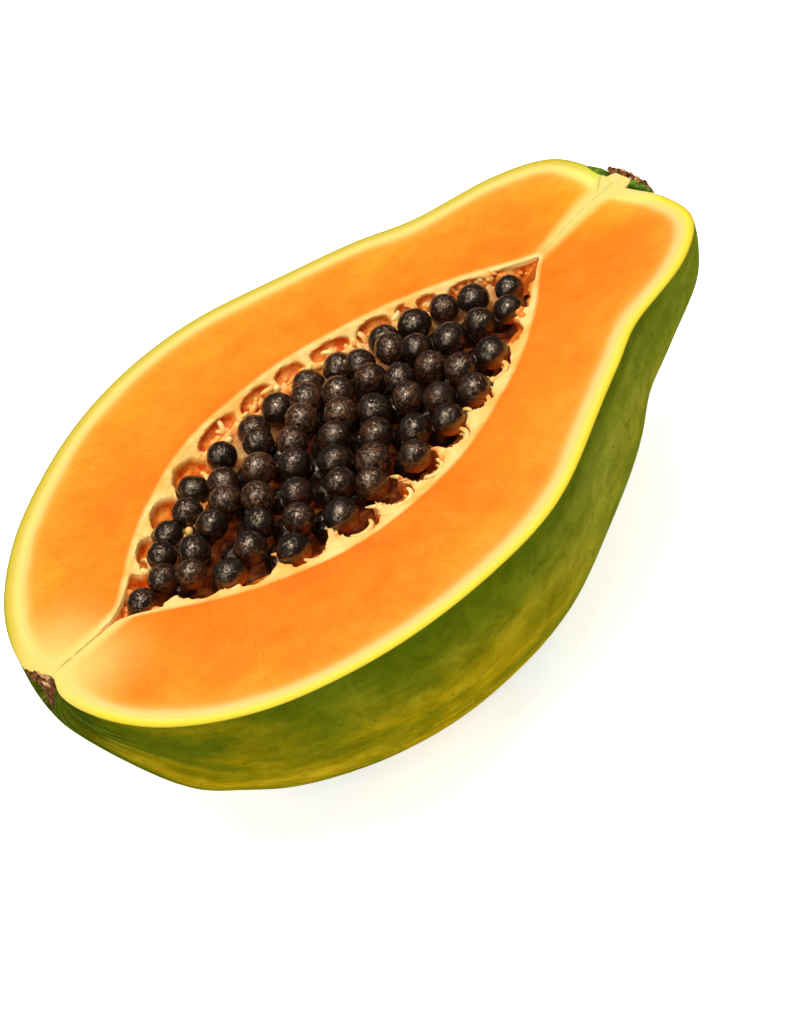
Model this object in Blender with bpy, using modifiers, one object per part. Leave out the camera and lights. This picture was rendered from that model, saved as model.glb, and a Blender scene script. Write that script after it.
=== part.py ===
"""Half a ripe papaya, cut lengthwise, lying on its rind with the cut face and its seeds up.

Metres, +Z up. X runs along the fruit, from the blossom end to the stem end, and the cut face is
level. The origin is under the middle of the part, at the small flat patch it rests on. While the
pieces are modelled, x is counted from the blossom end and z from the cut face, and place() then
moves them all to the origin.
"""

import math

import bpy
from mathutils import Vector, noise

MM = 0.001
GAP = 0.3 * MM                  # left between pieces that touch

# Fruit: distance from the blossom end and half width of the cut face, in millimetres
FRUIT_OUTLINE = (
    (0.0, 0.0), (1.4, 9.9), (9.5, 27.7), (22.0, 41.6), (37.2, 50.9), (52.9, 56.5), (69.6, 58.5),
    (86.0, 56.6), (104.6, 49.0), (118.8, 42.5), (130.5, 35.3), (147.6, 29.5), (157.6, 21.9),
    (159.9, 11.0), (158.2, 0.0),
)
DEPTH_RATIO = 0.975             # depth under the cut face, for each unit of half width
BLOSSOM_DRIFT = -4.7 * MM       # how far the blossom end leans to one side
DRIFT_LENGTH = 75.0 * MM        # the lean fades out over this length
FULLNESS = 0.011                # the rind bulges by this share half way down its side
BULGES = ((0.024, 109.0 * MM, 22.0 * MM), (0.056, 10.5 * MM, 5.0 * MM), (-0.044, 146.0 * MM, 8.0 * MM))
NECK_TUCK = (2.7 * MM, 118.0 * MM, 17.0 * MM, 9.0 * MM)   # one edge drawn in: how far, where, along, down
NOTCHES = ((2.6 * MM, -6.0 * MM, 12.0 * MM), (2.4 * MM, -0.8 * MM, 3.6 * MM))    # at the blossom end
NOTCH_DOWN = 3.6 * MM           # the notches die out this far under the cut face
NOTCH_ALONG = 20.0 * MM
REST_FLAT = 0.8 * MM            # taken off the lowest bulge, so that the half lies still

# Seed cavity: a pointed spindle, with two rows of seed pockets under its rim
CAVITY_OUTLINE = (
    (20.4, 0.0), (24.6, 3.0), (29.5, 7.2), (37.5, 15.0), (46.0, 20.8), (55.0, 25.6), (64.0, 28.0), (74.0, 28.6),
    (84.0, 28.0), (93.0, 25.6), (102.0, 22.2), (111.0, 18.0), (121.0, 11.8), (128.5, 6.0),
    (134.2, 0.0),
)
CAVITY_DRIFT = -1.2 * MM        # the middle of the cavity sits a little to one side
POCKET_PITCH = 9.0 * MM         # from one seed pocket to the next, along the fruit
POCKET_DEPTH = 2.6 * MM
POCKET_TOP = 1.5 * MM           # the upper row starts this far under the cut face
POCKET_HEIGHT = 10.0 * MM
POCKET_ROWS = 2
POCKET_FADE = 9.0 * MM          # pockets die out towards the cavity's tips
RIM_FINENESS = 0.3              # how much closer the mesh lines run near the rim, up to 0.5

# Seed heap
SEED_PITCH = 7.25 * MM
HEAP_EDGE = -5.5 * MM           # height of the heap's edge, from the cut face
HEAP_CROWN = 3.6 * MM           # height of its top seeds
HEAP_MARGIN = 1.2 * MM          # the heap stops this far short of the wall's ribs
SEED_RELIEF = 2.6 * MM          # from the top of a seed down to where it meets the next
HEAP_TOP_SHARE = 0.75           # share of the mesh lines that run over the heap's top

# Stalk stub, a squat button let into the stem end
STUB_CENTRE = (156.6 * MM, 0.6 * MM)
STUB_PROFILE = (
    (0.3, 0.0), (0.3, 7.2), (2.0, 7.2), (3.4, 6.0), (4.6, 5.7), (5.4, 6.3), (5.9, 5.2), (5.4, 3.0),
    (5.2, 0.0),
)
STUB_RISE = 1.3 * MM            # how far it stands above the cut face
STUB_RIBS = 5
STUB_RIB_DEPTH = 0.09

# Blossom scar, a corky knob let into the notch at the other end
SCAR_CENTRE = (5.2 * MM, -0.9 * MM)
SCAR_PROFILE = ((0.3, 0.0), (0.3, 3.0), (1.6, 3.0), (2.4, 2.2), (2.7, 1.1), (2.5, 0.0))
SCAR_RISE = 0.2 * MM
SCAR_RIBS = 7
SCAR_RIB_DEPTH = 0.10

# Fineness of the meshes
FRUIT_STEPS = 44                # sides round the whole fruit
FRUIT_PER_SPAN = 3              # rings between two outline points
CAVITY_STEPS = 44
CAVITY_PER_SPAN = 4
HEAP_STEPS = 44
KNOB_STEPS = 30


# ---------------------------------------------------------------- helpers

def clear_scene():
    for item in list(bpy.data.objects):
        bpy.data.objects.remove(item, do_unlink=True)


def new_collection(name):
    collection = bpy.data.collections.new(name)
    bpy.context.scene.collection.children.link(collection)
    return collection


def material(name, colour, roughness):
    made = bpy.data.materials.new(name)
    made.use_nodes = True
    shader = made.node_tree.nodes["Principled BSDF"]
    shader.inputs["Base Color"].default_value = (*colour, 1.0)
    shader.inputs["Roughness"].default_value = roughness
    shader.inputs["Metallic"].default_value = 0.0
    made.diffuse_color = (*colour, 1.0)
    return made


def smooth_outline(points, per_span):
    """A smooth line in metres through an outline that starts and ends on the axis."""
    first, last = points[1], points[-2]
    closed = [(first[0], -first[1]), *points, (last[0], -last[1])]
    closed = [Vector(point) * MM for point in closed]
    line = []
    for span in range(1, len(closed) - 2):
        before, start, end, after = closed[span - 1:span + 3]
        for step in range(per_span):
            t = step / per_span
            line.append(0.5 * (2 * start + (end - before) * t
                               + (2 * before - 5 * start + 4 * end - after) * t ** 2
                               + (3 * start - before - 3 * end + after) * t ** 3))
    line.append(closed[-2])
    for point in (line[0], line[-1]):
        point.y = 0.0
    return line


def turned(name, line, steps, collection):
    """A closed body turned about X from a line of (distance along X, radius)."""
    mesh = bpy.data.meshes.new(name)
    mesh.from_pydata([(x, r, 0.0) for x, r in line], [(i, i + 1) for i in range(len(line) - 1)], [])
    profile = bpy.data.objects.new(name + "_profile", mesh)
    collection.objects.link(profile)
    screw = profile.modifiers.new("turn", "SCREW")
    screw.axis = "X"
    screw.steps = screw.render_steps = steps
    screw.use_merge_vertices = True
    screw.merge_threshold = 0.00001
    screw.use_normal_calculate = True
    screw.use_smooth_shade = True
    bpy.context.view_layer.update()
    seen = profile.evaluated_get(bpy.context.evaluated_depsgraph_get())
    body = bpy.data.objects.new(name, bpy.data.meshes.new_from_object(seen))
    body.data.name = name
    collection.objects.link(body)
    bpy.data.objects.remove(profile, do_unlink=True)
    return body


def reshape(body, rule):
    """Moves each vertex of a body to where the rule says."""
    for vertex in body.data.vertices:
        vertex.co = rule(vertex.co)


def block(name, low, high, collection):
    """A box cutter between two corners."""
    bpy.ops.mesh.primitive_cube_add(size=1.0)
    body = bpy.context.object
    body.name = name
    for vertex in body.data.vertices:
        vertex.co = Vector(high[i] if vertex.co[i] > 0 else low[i] for i in range(3))
    for owner in list(body.users_collection):
        owner.objects.unlink(body)
    collection.objects.link(body)
    return body


def cut(body, cutter):
    """Takes a cutter out of a body."""
    boolean = body.modifiers.new(cutter.name, "BOOLEAN")
    boolean.operation = "DIFFERENCE"
    boolean.solver = "EXACT"
    boolean.object = cutter
    cutter.display_type = "WIRE"
    cutter.hide_render = True


def fade_in(value, length):
    """0 at 0, rising smoothly to 1 at a length."""
    t = min(max(value / length, 0.0), 1.0)
    return t * t * (3.0 - 2.0 * t)


# ---------------------------------------------------------------- the fruit and its cavity

def fruit_drift(x):
    """Sideways lean of the fruit's axis."""
    if x > DRIFT_LENGTH:
        return 0.0
    return BLOSSOM_DRIFT * math.cos(0.5 * math.pi * max(x, 0.0) / DRIFT_LENGTH) ** 2


def fruit_skin(place):
    """Gives the turned fruit its lean, its fuller sides, its drawn-in neck and its notch."""
    turn = math.atan2(-place.z, place.y)
    swell = FULLNESS + sum(share * math.exp(-((place.x - middle) / length) ** 2)
                           for share, middle, length in BULGES)
    full = 1.0 + swell * math.sin(2.0 * turn) ** 2
    side = place.y * full + fruit_drift(place.x)
    deep = place.z * full * DEPTH_RATIO
    drawn, middle, along, down = NECK_TUCK
    if place.y < 0.0:
        side += drawn * math.exp(-((place.x - middle) / along) ** 2 - (deep / down) ** 2)
    notch = sum(size * math.exp(-((side - middle) / width) ** 2) for size, middle, width in NOTCHES)
    notch *= (1.0 - fade_in(place.x - 0.2 * NOTCH_ALONG, 0.8 * NOTCH_ALONG))
    return Vector((place.x + notch * math.exp(-(abs(deep) / NOTCH_DOWN) ** 1.6), side, deep))


def cavity_span():
    return CAVITY_OUTLINE[0][0] * MM, CAVITY_OUTLINE[-1][0] * MM


def cavity_drift(x):
    """Sideways shift of the cavity, none at its tips."""
    start, end = cavity_span()
    return CAVITY_DRIFT * math.sin(math.pi * (x - start) / (end - start))


def pocket(x, depth):
    """How deeply the cavity wall is hollowed, 0 to 1, at a distance along X and a depth."""
    place = (depth - POCKET_TOP) / POCKET_HEIGHT
    row = math.floor(place)
    if not 0 <= row < POCKET_ROWS:
        return 0.0
    across = math.sin(math.pi * (place - row))
    along = abs(math.sin(math.pi * (x / POCKET_PITCH + 0.5 * row)))
    start, end = cavity_span()
    return across * along * fade_in(x - start, POCKET_FADE) * fade_in(end - x, POCKET_FADE)


def cavity_cutter(collection):
    body = turned("seed_cavity", smooth_outline(CAVITY_OUTLINE, CAVITY_PER_SPAN), CAVITY_STEPS, collection)

    def rule(place):
        radius = math.hypot(place.y, place.z)
        turn = math.atan2(-place.z, place.y)
        turn -= RIM_FINENESS * math.sin(2.0 * turn)
        radius += POCKET_DEPTH * pocket(place.x, radius * math.sin(turn))
        side = radius * math.cos(turn) + cavity_drift(place.x)
        return Vector((place.x, side, -radius * math.sin(turn)))

    reshape(body, rule)
    return body


def knob_socket(name, centre, profile, outward, collection):
    """The round recess that a knob is let into: the knob's root, with a gap all round."""
    radius = max(r for _, r in profile) * MM + GAP
    length = 12.0 * MM
    bpy.ops.mesh.primitive_cylinder_add(
        vertices=KNOB_STEPS, radius=radius, depth=length, rotation=(0.0, 0.5 * math.pi, 0.0),
        location=(centre[0] + outward * 0.5 * length, centre[1], 0.0))
    body = bpy.context.object
    body.name = name
    for owner in list(body.users_collection):
        owner.objects.unlink(body)
    collection.objects.link(body)
    return body


def papaya_half(parts, cutters):
    body = turned("papaya_half", smooth_outline(FRUIT_OUTLINE, FRUIT_PER_SPAN), FRUIT_STEPS, parts)
    reshape(body, fruit_skin)
    reach = 0.2
    depth = DEPTH_RATIO * max(half for _, half in FRUIT_OUTLINE) * MM
    cut(body, block("upper_half", (-reach, -reach, 0.0), (reach, reach, reach), cutters))
    cut(body, block("rest_flat", (-reach, -reach, -reach), (reach, reach, REST_FLAT - depth), cutters))
    cut(body, cavity_cutter(cutters))
    cut(body, knob_socket("stub_socket", STUB_CENTRE, STUB_PROFILE, 1.0, cutters))
    cut(body, knob_socket("scar_socket", SCAR_CENTRE, SCAR_PROFILE, -1.0, cutters))
    body.data.materials.append(material("flesh_and_rind", (0.93, 0.42, 0.10), 0.45))
    return body


# ---------------------------------------------------------------- the seeds, stalk stub and scar

def seed_bump(x, y):
    """Height of the packed seeds' tops at a place in plan, 0 to 1."""
    row_pitch = SEED_PITCH * math.sqrt(3.0) / 2.0
    row = round(x / row_pitch)
    best = 0.0
    for near_row in (row - 1, row, row + 1):
        shift = 0.5 * (near_row % 2) * SEED_PITCH
        column = round((y - shift) / SEED_PITCH)
        middle = Vector((near_row * row_pitch, column * SEED_PITCH + shift))
        away = (Vector((x, y)) - middle).length / (0.5 * SEED_PITCH)
        size = 0.85 + 0.3 * noise.cell(Vector((near_row * 1.7, column * 2.3, 0.5)))
        best = max(best, size * math.sqrt(max(0.0, 1.0 - (away / 1.16) ** 2)))
    return best


def seed_heap(parts):
    start, end = cavity_span()
    inset = HEAP_MARGIN + GAP
    line = smooth_outline(CAVITY_OUTLINE, CAVITY_PER_SPAN)
    line = [point for point in line if point.y > 3.0 * inset]
    line = [Vector((point.x, point.y - inset)) for point in line]
    line.insert(0, Vector((line[0].x - inset, 0.0)))
    line.append(Vector((line[-1].x + inset, 0.0)))
    body = turned("seed_heap", line, HEAP_STEPS, parts)
    middle = max(point.y for point in line)

    def rule(place):
        radius = math.hypot(place.y, place.z)
        drift = cavity_drift(place.x)
        edge = -min(-HEAP_EDGE, 0.8 * radius)
        edge_turn = math.asin(edge / radius) if radius > 0.0 else 0.0
        around = math.atan2(place.z, place.y) / math.pi
        over_top = 0.5 + (around - 0.5 if around > -0.5 else around + 1.5) * 0.5 / HEAP_TOP_SHARE
        if not 0.0 < over_top < 1.0:
            under = (over_top if over_top <= 0.0 else over_top - 1.0) * HEAP_TOP_SHARE / (1.0 - HEAP_TOP_SHARE)
            turn = edge_turn * (1.0 - 2.0 * abs(under)) - math.pi * abs(under)
            if over_top > 0.5:
                turn = -math.pi - turn
            return Vector((place.x, radius * math.cos(turn) + drift, radius * math.sin(turn)))
        side = radius * math.cos(edge_turn) * math.cos(math.pi * over_top) + drift
        lift = math.sin(math.pi * over_top) ** 0.8
        crown = HEAP_CROWN * (radius / middle) ** 1.5
        bump = seed_bump(place.x, side) - 1.0
        return Vector((place.x, side, edge + lift * (crown - edge + SEED_RELIEF * bump)))

    reshape(body, rule)
    body.data.materials.append(material("seeds", (0.045, 0.030, 0.024), 0.25))
    return body


def knob(name, centre, profile, outward, ribs, rib_depth, rise, finish, parts, cutters):
    """A ribbed, crinkled half-round knob that stands out of one end of the fruit."""
    line = [Vector((x * MM, r * MM)) for x, r in profile]
    body = turned(name, line, KNOB_STEPS, parts)
    widest = max(point.y for point in line)

    def rule(place):
        turn = math.atan2(place.z, place.y)
        crust = fade_in(place.x - line[2].x, 1.0 * MM)
        rib = 1.0 + crust * rib_depth * math.cos(ribs * turn) * math.hypot(place.y, place.z) / widest
        crinkle = 0.35 * MM * noise.noise(place / (2.0 * MM)) * crust
        return Vector((centre[0] + outward * (place.x + crinkle), centre[1] + place.y * rib, place.z * rib))

    reshape(body, rule)
    if outward < 0.0:
        body.data.flip_normals()
    reach = 0.2
    cut(body, block(name + "_top", (-reach, -reach, rise), (reach, reach, reach), cutters))
    body.data.materials.append(finish)
    return body


# ---------------------------------------------------------------- the part

def place(bodies):
    """Moves the modelled pieces and cutters so that the part stands over the origin."""
    front = STUB_CENTRE[0] + max(x for x, _ in STUB_PROFILE) * MM
    back = min(vertex.co.x for vertex in bodies[0].data.vertices)
    base = REST_FLAT - DEPTH_RATIO * max(half for _, half in FRUIT_OUTLINE) * MM
    shift = Vector((-0.5 * (front + back), 0.0, -base))
    for body in bodies:
        turn = body.matrix_world.copy()
        for vertex in body.data.vertices:
            vertex.co = turn @ vertex.co + shift
        body.location = (0.0, 0.0, 0.0)
        body.rotation_euler = (0.0, 0.0, 0.0)


def main():
    clear_scene()
    parts = new_collection("papaya_half")
    cutters = new_collection("cutters")
    papaya_half(parts, cutters)
    seed_heap(parts)
    knob("stem_stub", STUB_CENTRE, STUB_PROFILE, 1.0, STUB_RIBS, STUB_RIB_DEPTH, STUB_RISE,
         material("dry_stalk", (0.45, 0.36, 0.20), 0.8), parts, cutters)
    knob("blossom_scar", SCAR_CENTRE, SCAR_PROFILE, -1.0, SCAR_RIBS, SCAR_RIB_DEPTH, SCAR_RISE,
         material("cork", (0.26, 0.14, 0.07), 0.85), parts, cutters)
    bpy.context.view_layer.update()
    place([*parts.objects, *cutters.objects])


main()
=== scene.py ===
import math

import bmesh
import bpy
import numpy as np
from mathutils import Matrix, Vector, noise


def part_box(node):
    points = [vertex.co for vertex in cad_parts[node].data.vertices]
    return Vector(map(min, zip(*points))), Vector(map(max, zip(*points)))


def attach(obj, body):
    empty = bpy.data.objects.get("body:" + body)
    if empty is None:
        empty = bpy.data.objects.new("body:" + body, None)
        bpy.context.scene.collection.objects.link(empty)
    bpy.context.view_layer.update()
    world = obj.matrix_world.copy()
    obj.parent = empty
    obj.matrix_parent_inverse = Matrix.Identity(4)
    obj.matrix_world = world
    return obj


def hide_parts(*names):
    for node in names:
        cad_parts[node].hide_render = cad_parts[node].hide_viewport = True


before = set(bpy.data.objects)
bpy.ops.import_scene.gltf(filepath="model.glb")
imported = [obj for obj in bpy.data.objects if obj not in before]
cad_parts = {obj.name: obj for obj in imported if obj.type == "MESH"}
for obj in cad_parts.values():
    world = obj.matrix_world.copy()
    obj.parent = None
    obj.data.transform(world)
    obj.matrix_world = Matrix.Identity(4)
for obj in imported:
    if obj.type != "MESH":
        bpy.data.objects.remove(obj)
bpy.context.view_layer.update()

MM = 0.001

# The cut face is level. Pieces are worked out in millimetres from the blossom end, on the cut face,
# and placed by the papaya's own CAD box.
FRUIT_LENGTH = 159.9
FRUIT_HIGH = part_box("papaya_half")[1]
ORIGIN = Vector((FRUIT_HIGH.x - FRUIT_LENGTH * MM, 0.0, FRUIT_HIGH.z))
CUT_HEIGHT = FRUIT_HIGH.z / MM

# Fruit outline on the cut face: distance from the blossom end and half width
FRUIT_OUTLINE = (
    (0.0, 0.0), (1.4, 9.9), (9.5, 27.7), (22.0, 41.6), (37.2, 50.9), (52.9, 56.5), (69.6, 58.5),
    (86.0, 56.6), (104.6, 49.0), (118.8, 42.5), (130.5, 35.3), (147.6, 29.5), (157.6, 21.9),
    (FRUIT_LENGTH, 11.0), (158.2, 0.0),
)
DEPTH_RATIO = 0.975
BLOSSOM_DRIFT = -4.7
DRIFT_LENGTH = 75.0
FULLNESS = 0.011                # the rind bulges by this share half way down its side
BULGES = ((0.024, 109.0, 22.0), (0.056, 10.5, 5.0), (-0.044, 146.0, 8.0))     # share, middle, length
NECK_TUCK = (2.7, 118.0, 17.0, 9.0)     # near edge drawn in: how far, where, along, down
CAVITY_OUTLINE = (
    (17.6, 0.0), (19.8, 0.42), (21.6, 1.15), (23.2, 2.05), (24.9, 3.3), (29.5, 7.6), (37.5, 15.0),
    (46.0, 20.8), (55.0, 25.6), (64.0, 28.0), (74.0, 28.6), (84.0, 28.0), (93.0, 25.6), (102.0, 22.2),
    (111.0, 18.0), (121.0, 11.5), (128.0, 5.5), (132.0, 2.0), (134.4, 0.0),
)
CAVITY_DRIFT = -1.2

# Cream walls between the seed pockets, as distances along the fruit
FAR_WALLS = (30.0, 38.6, 48.7, 59.3, 72.2, 81.7, 90.0, 99.8, 108.6, 112.8, 118.0, 126.4)
NEAR_WALLS = (28.0, 37.2, 47.0, 57.5, 68.3, 76.6, 87.1, 95.6, 103.5, 114.4, 123.2)
NEAR_REACH = (2.4, 4.0, 7.0, 7.4, 6.0, 8.6, 8.8, 6.2, 7.6, 5.6, 3.0)   # how far each runs in from the rim

# Fineness of the fruit's mesh
STATIONS = 340                  # from one end to the other
SIDES = 96                      # round the whole fruit
EDGE_RINGS = (0.3, 0.8, 1.5, 2.4, 3.6, 5.0, 7.0)      # on the cut face, in from the skin
RIM_RINGS = (4.0, 2.4, 1.3, 0.6, 0.2)                 # on the cut face, out from the cavity
MIDDLE_RINGS = 5
WALL_RINGS = 34                 # down the cavity wall
WALL_STEP = 0.34
FLOOR_RINGS = 7                 # on to the cavity's keel

# Seeds
SEED_PITCH = 6.1                # between the seeds of a row, those under the top layer counted
SEED_RADIUS = (3.25, 3.75)
LAYER_DROP = 5.9                # from the top layer down to the one under it
HIGHEST_SEED = 3.4              # top of the heap, above the cut face
NEAR_GAP, FAR_GAP = 6.9, 6.8    # from the cavity's rim to the nearest seeds' middles
OPEN_BAYS = (4.0, 72.0, 12.0)   # near pockets left open: how much further in, where, along

BED_MIDDLE, BED_REACH = 79.5, 51.0      # of the pulp under the seeds, along the fruit

# Seed pockets: how far the wall is pushed out and down in one
NEAR_POCKET = (0.7, 2.0)
FAR_POCKET = (1.6, 1.4)
LOW_POCKETS = (50.0, 66.0)      # the far pockets before this stretch reach deeper down the wall

STUB_END = 162.5                # the stalk goes no further along
STUB_MIDDLE = 1.9               # its middle, to the far side of the fruit's axis
SKY, HORIZON = 0.58, 0.06       # brightness straight overhead and level
SKY_IN_GLOSS = 0.3              # share of it that shows in reflections
LIGHTS_MIDDLE = (-0.05, -0.15, 0.74)
CAMERA_PLACE = (-96.22, -403.67, 336.96)
CAMERA_ANGLES = (-23.90, 39.47, -25.44)     # turn, height and roll, in degrees
CAMERA_LENS = 100.8


# ---------------------------------------------------------------- numbers and shapes

def fade(value, low, high):
    """0 at low rising smoothly to 1 at high."""
    t = np.clip((np.asarray(value, float) - low) / (high - low), 0.0, 1.0)
    return t * t * (3.0 - 2.0 * t)


def smooth_outline(points, per_span):
    """A smooth line through an outline that starts and ends on the axis."""
    first, last = points[1], points[-2]
    line = np.array([(first[0], -first[1]), *points, (last[0], -last[1])])
    smooth = []
    for span in range(1, len(line) - 2):
        before, start, end, after = line[span - 1:span + 3]
        for step in range(per_span):
            t = step / per_span
            smooth.append(0.5 * (2 * start + (end - before) * t
                                 + (2 * before - 5 * start + 4 * end - after) * t ** 2
                                 + (3 * start - before - 3 * end + after) * t ** 3))
    smooth.append(line[-2])
    return np.array(smooth)


def even_stations(line, count):
    """The same line with its points a constant length apart."""
    run = np.concatenate(([0.0], np.cumsum(np.hypot(*np.diff(line, axis=0).T))))
    at = np.linspace(0.0, run[-1], count + 1)
    return np.column_stack([np.interp(at, run, line[:, i]) for i in range(2)])


def fruit_drift(x):
    return np.where(x > DRIFT_LENGTH, 0.0,
                    BLOSSOM_DRIFT * np.cos(0.5 * np.pi * np.clip(x, 0.0, DRIFT_LENGTH) / DRIFT_LENGTH) ** 2)


def cavity_axis(x):
    start, end = CAVITY_OUTLINE[0][0], CAVITY_OUTLINE[-1][0]
    inside = np.clip((x - start) / (end - start), 0.0, 1.0)
    return CAVITY_DRIFT * np.sin(np.pi * inside)


def cavity_half(x):
    """Half width of the cavity at a distance along the fruit."""
    line = smooth_outline(CAVITY_OUTLINE, 8)
    return np.interp(x, line[:, 0], line[:, 1], left=0.0, right=0.0)


def notch(x, y):
    """How far the cut edge is drawn in at the blossom end."""
    drawn = 2.6 * np.exp(-((y + 6.0) / 12.0) ** 2) + 2.4 * np.exp(-((y + 0.8) / 3.6) ** 2)
    return drawn * (1.0 - fade(x, 4.0, 20.0))


def rough(x, y, scale, seed=0.0):
    """Soft noise, about -1 to 1, at places in plan."""
    return np.array([noise.noise((a / scale, b / scale, seed)) for a, b in zip(np.ravel(x), np.ravel(y))]
                    ).reshape(np.shape(x))


# ---------------------------------------------------------------- modelling helpers

def clear_selection():
    if bpy.context.object and bpy.context.object.mode != "OBJECT":
        bpy.ops.object.mode_set(mode="OBJECT")
    bpy.ops.object.select_all(action="DESELECT")


def pick(body):
    """Makes a body the only selected one."""
    clear_selection()
    body.select_set(True)
    bpy.context.view_layer.objects.active = body


def newest(name):
    body = bpy.context.object
    body.name = body.data.name = name
    return body


def added(operator, name, **settings):
    """A new primitive, alone in the selection."""
    clear_selection()
    operator(**settings)
    return newest(name)


def settle(body):
    """Puts a body's place into its mesh."""
    pick(body)
    bpy.ops.object.transform_apply(location=True, rotation=True, scale=True)


def edit(body, mode="VERT", choose="SELECT"):
    """Opens a body in edit mode, with all of it selected or none."""
    pick(body)
    bpy.ops.object.mode_set(mode="EDIT")
    bpy.ops.mesh.select_mode(type=mode)
    bpy.ops.mesh.select_all(action=choose)


def done():
    bpy.ops.object.mode_set(mode="OBJECT")


def points(body):
    co = np.zeros(len(body.data.vertices) * 3)
    body.data.vertices.foreach_get("co", co)
    return co.reshape(-1, 3)


def whole_numbers(rows, key):
    """One whole number for each row of a mesh's data."""
    values = np.zeros(len(rows), np.int32)
    rows.foreach_get(key, values)
    return values


def move_points(body, co):
    body.data.vertices.foreach_set("co", np.ascontiguousarray(co, float).ravel())
    body.data.update()


def to_row(co):
    """From millimetres on the cut face to metres in the row frame."""
    return np.asarray(co) * MM + np.array(ORIGIN)


def number(body, name, values):
    """Stores one number for each point of a body."""
    made = body.data.attributes.get(name) or body.data.attributes.new(name, "FLOAT", "POINT")
    made.data.foreach_set("value", np.asarray(values, np.float32))


def join(bodies, name):
    clear_selection()
    for body in bodies:
        body.select_set(True)
    bpy.context.view_layer.objects.active = bodies[0]
    bpy.ops.object.join()
    return newest(name)


def copy_of(body):
    made = bpy.data.objects.new(body.name + "_copy", body.data.copy())
    bpy.context.scene.collection.objects.link(made)
    return made


def smooth(body, degrees=None):
    pick(body)
    if degrees is None:
        bpy.ops.object.shade_smooth()
    else:
        bpy.ops.object.shade_smooth_by_angle(angle=math.radians(degrees))


def finish(body, material_list, node):
    body.data.materials.clear()
    for item in material_list:
        body.data.materials.append(item)
    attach(body, "root")
    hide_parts(node)
    return body


# ---------------------------------------------------------------- material helpers

def linear(colour):
    """From the 0 to 255 values of a paint chart to the renderer's own."""
    values = [c / 255.0 for c in colour]
    return tuple(c / 12.92 if c <= 0.04045 else ((c + 0.055) / 1.055) ** 2.4 for c in values)


class Nodes:
    """A node tree: each call adds a node and gives back its output."""

    def __init__(self, tree):
        self.tree = tree
        self.place = None

    def node(self, kind, **settings):
        made = self.tree.nodes.new(kind)
        for key, value in settings.items():
            setattr(made, key, value)
        return made

    def feed(self, socket, value):
        if isinstance(value, bpy.types.NodeSocket):
            self.tree.links.new(value, socket)
        elif isinstance(value, (tuple, list)) and len(value) == 3 and socket.type == "RGBA":
            socket.default_value = (*value, 1.0)
        else:
            socket.default_value = value

    def where(self, squeeze=(1.0, 1.0, 1.0)):
        """Object coordinates, stretched along an axis where its number is under 1."""
        if self.place is None:
            self.place = self.node("ShaderNodeTexCoord").outputs["Object"]
        if squeeze == (1.0, 1.0, 1.0):
            return self.place
        made = self.node("ShaderNodeMapping")
        self.feed(made.inputs["Vector"], self.place)
        made.inputs["Scale"].default_value = squeeze
        return made.outputs["Vector"]

    def number(self, name):
        return self.node("ShaderNodeAttribute", attribute_name=name).outputs["Fac"]

    def together(self, x, y, z=0.0):
        made = self.node("ShaderNodeCombineXYZ")
        for socket, value in zip(made.inputs, (x, y, z)):
            self.feed(socket, value)
        return made.outputs[0]

    def noise(self, vector, scale, detail=3.0, roughness=0.5, distortion=0.0):
        made = self.node("ShaderNodeTexNoise")
        self.feed(made.inputs["Vector"], vector)
        for key, value in (("Scale", scale), ("Detail", detail), ("Roughness", roughness),
                           ("Distortion", distortion)):
            made.inputs[key].default_value = value
        return made.outputs["Fac"]

    def cells(self, vector, scale):
        made = self.node("ShaderNodeTexVoronoi")
        self.feed(made.inputs["Vector"], vector)
        made.inputs["Scale"].default_value = scale
        return made.outputs["Distance"]

    def sum(self, operation, a, b=0.0):
        made = self.node("ShaderNodeMath", operation=operation)
        for socket, value in zip(made.inputs, (a, b)):
            self.feed(socket, value)
        return made.outputs[0]

    def times(self, a, b):
        return self.sum("MULTIPLY", a, b)

    def plus(self, a, b):
        return self.sum("ADD", a, b)

    def minus(self, a, b):
        return self.sum("SUBTRACT", a, b)

    def span(self, value, low, high, to_low=0.0, to_high=1.0, smooth=True):
        """A value carried from one range to another, and held at its ends."""
        made = self.node("ShaderNodeMapRange", interpolation_type="SMOOTHSTEP" if smooth else "LINEAR")
        self.feed(made.inputs["Value"], value)
        for key, limit in (("From Min", low), ("From Max", high), ("To Min", to_low), ("To Max", to_high)):
            made.inputs[key].default_value = limit
        return made.outputs["Result"]

    def ramp(self, value, stops, reach=1.0):
        """Colours along a value; the stops are (value, chart colour)."""
        made = self.node("ShaderNodeValToRGB")
        self.feed(made.inputs["Fac"], self.times(value, 1.0 / reach) if reach != 1.0 else value)
        elements = made.color_ramp.elements
        while len(elements) > 1:
            elements.remove(elements[-1])
        elements[0].position = stops[0][0] / reach
        elements[0].color = (*linear(stops[0][1]), 1.0)
        for at, colour in stops[1:]:
            elements.new(at / reach).color = (*linear(colour), 1.0)
        return made.outputs["Color"]

    def mix(self, factor, a, b, blend="MIX"):
        made = self.node("ShaderNodeMix", data_type="RGBA", blend_type=blend)
        self.feed(made.inputs[0], factor)
        self.feed(made.inputs[6], a)
        self.feed(made.inputs[7], b)
        return made.outputs[2]

    def paint(self, factor, under, colour):
        """A chart colour laid over another."""
        return self.mix(factor, under, linear(colour))

    def tint(self, factor, under, shares):
        """A colour with its red, green and blue scaled."""
        return self.mix(factor, under, shares, "MULTIPLY")

    def bump(self, height, distance, strength):
        made = self.node("ShaderNodeBump")
        made.inputs["Strength"].default_value = strength
        made.inputs["Distance"].default_value = distance
        self.feed(made.inputs["Height"], height)
        return made.outputs["Normal"]


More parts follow.
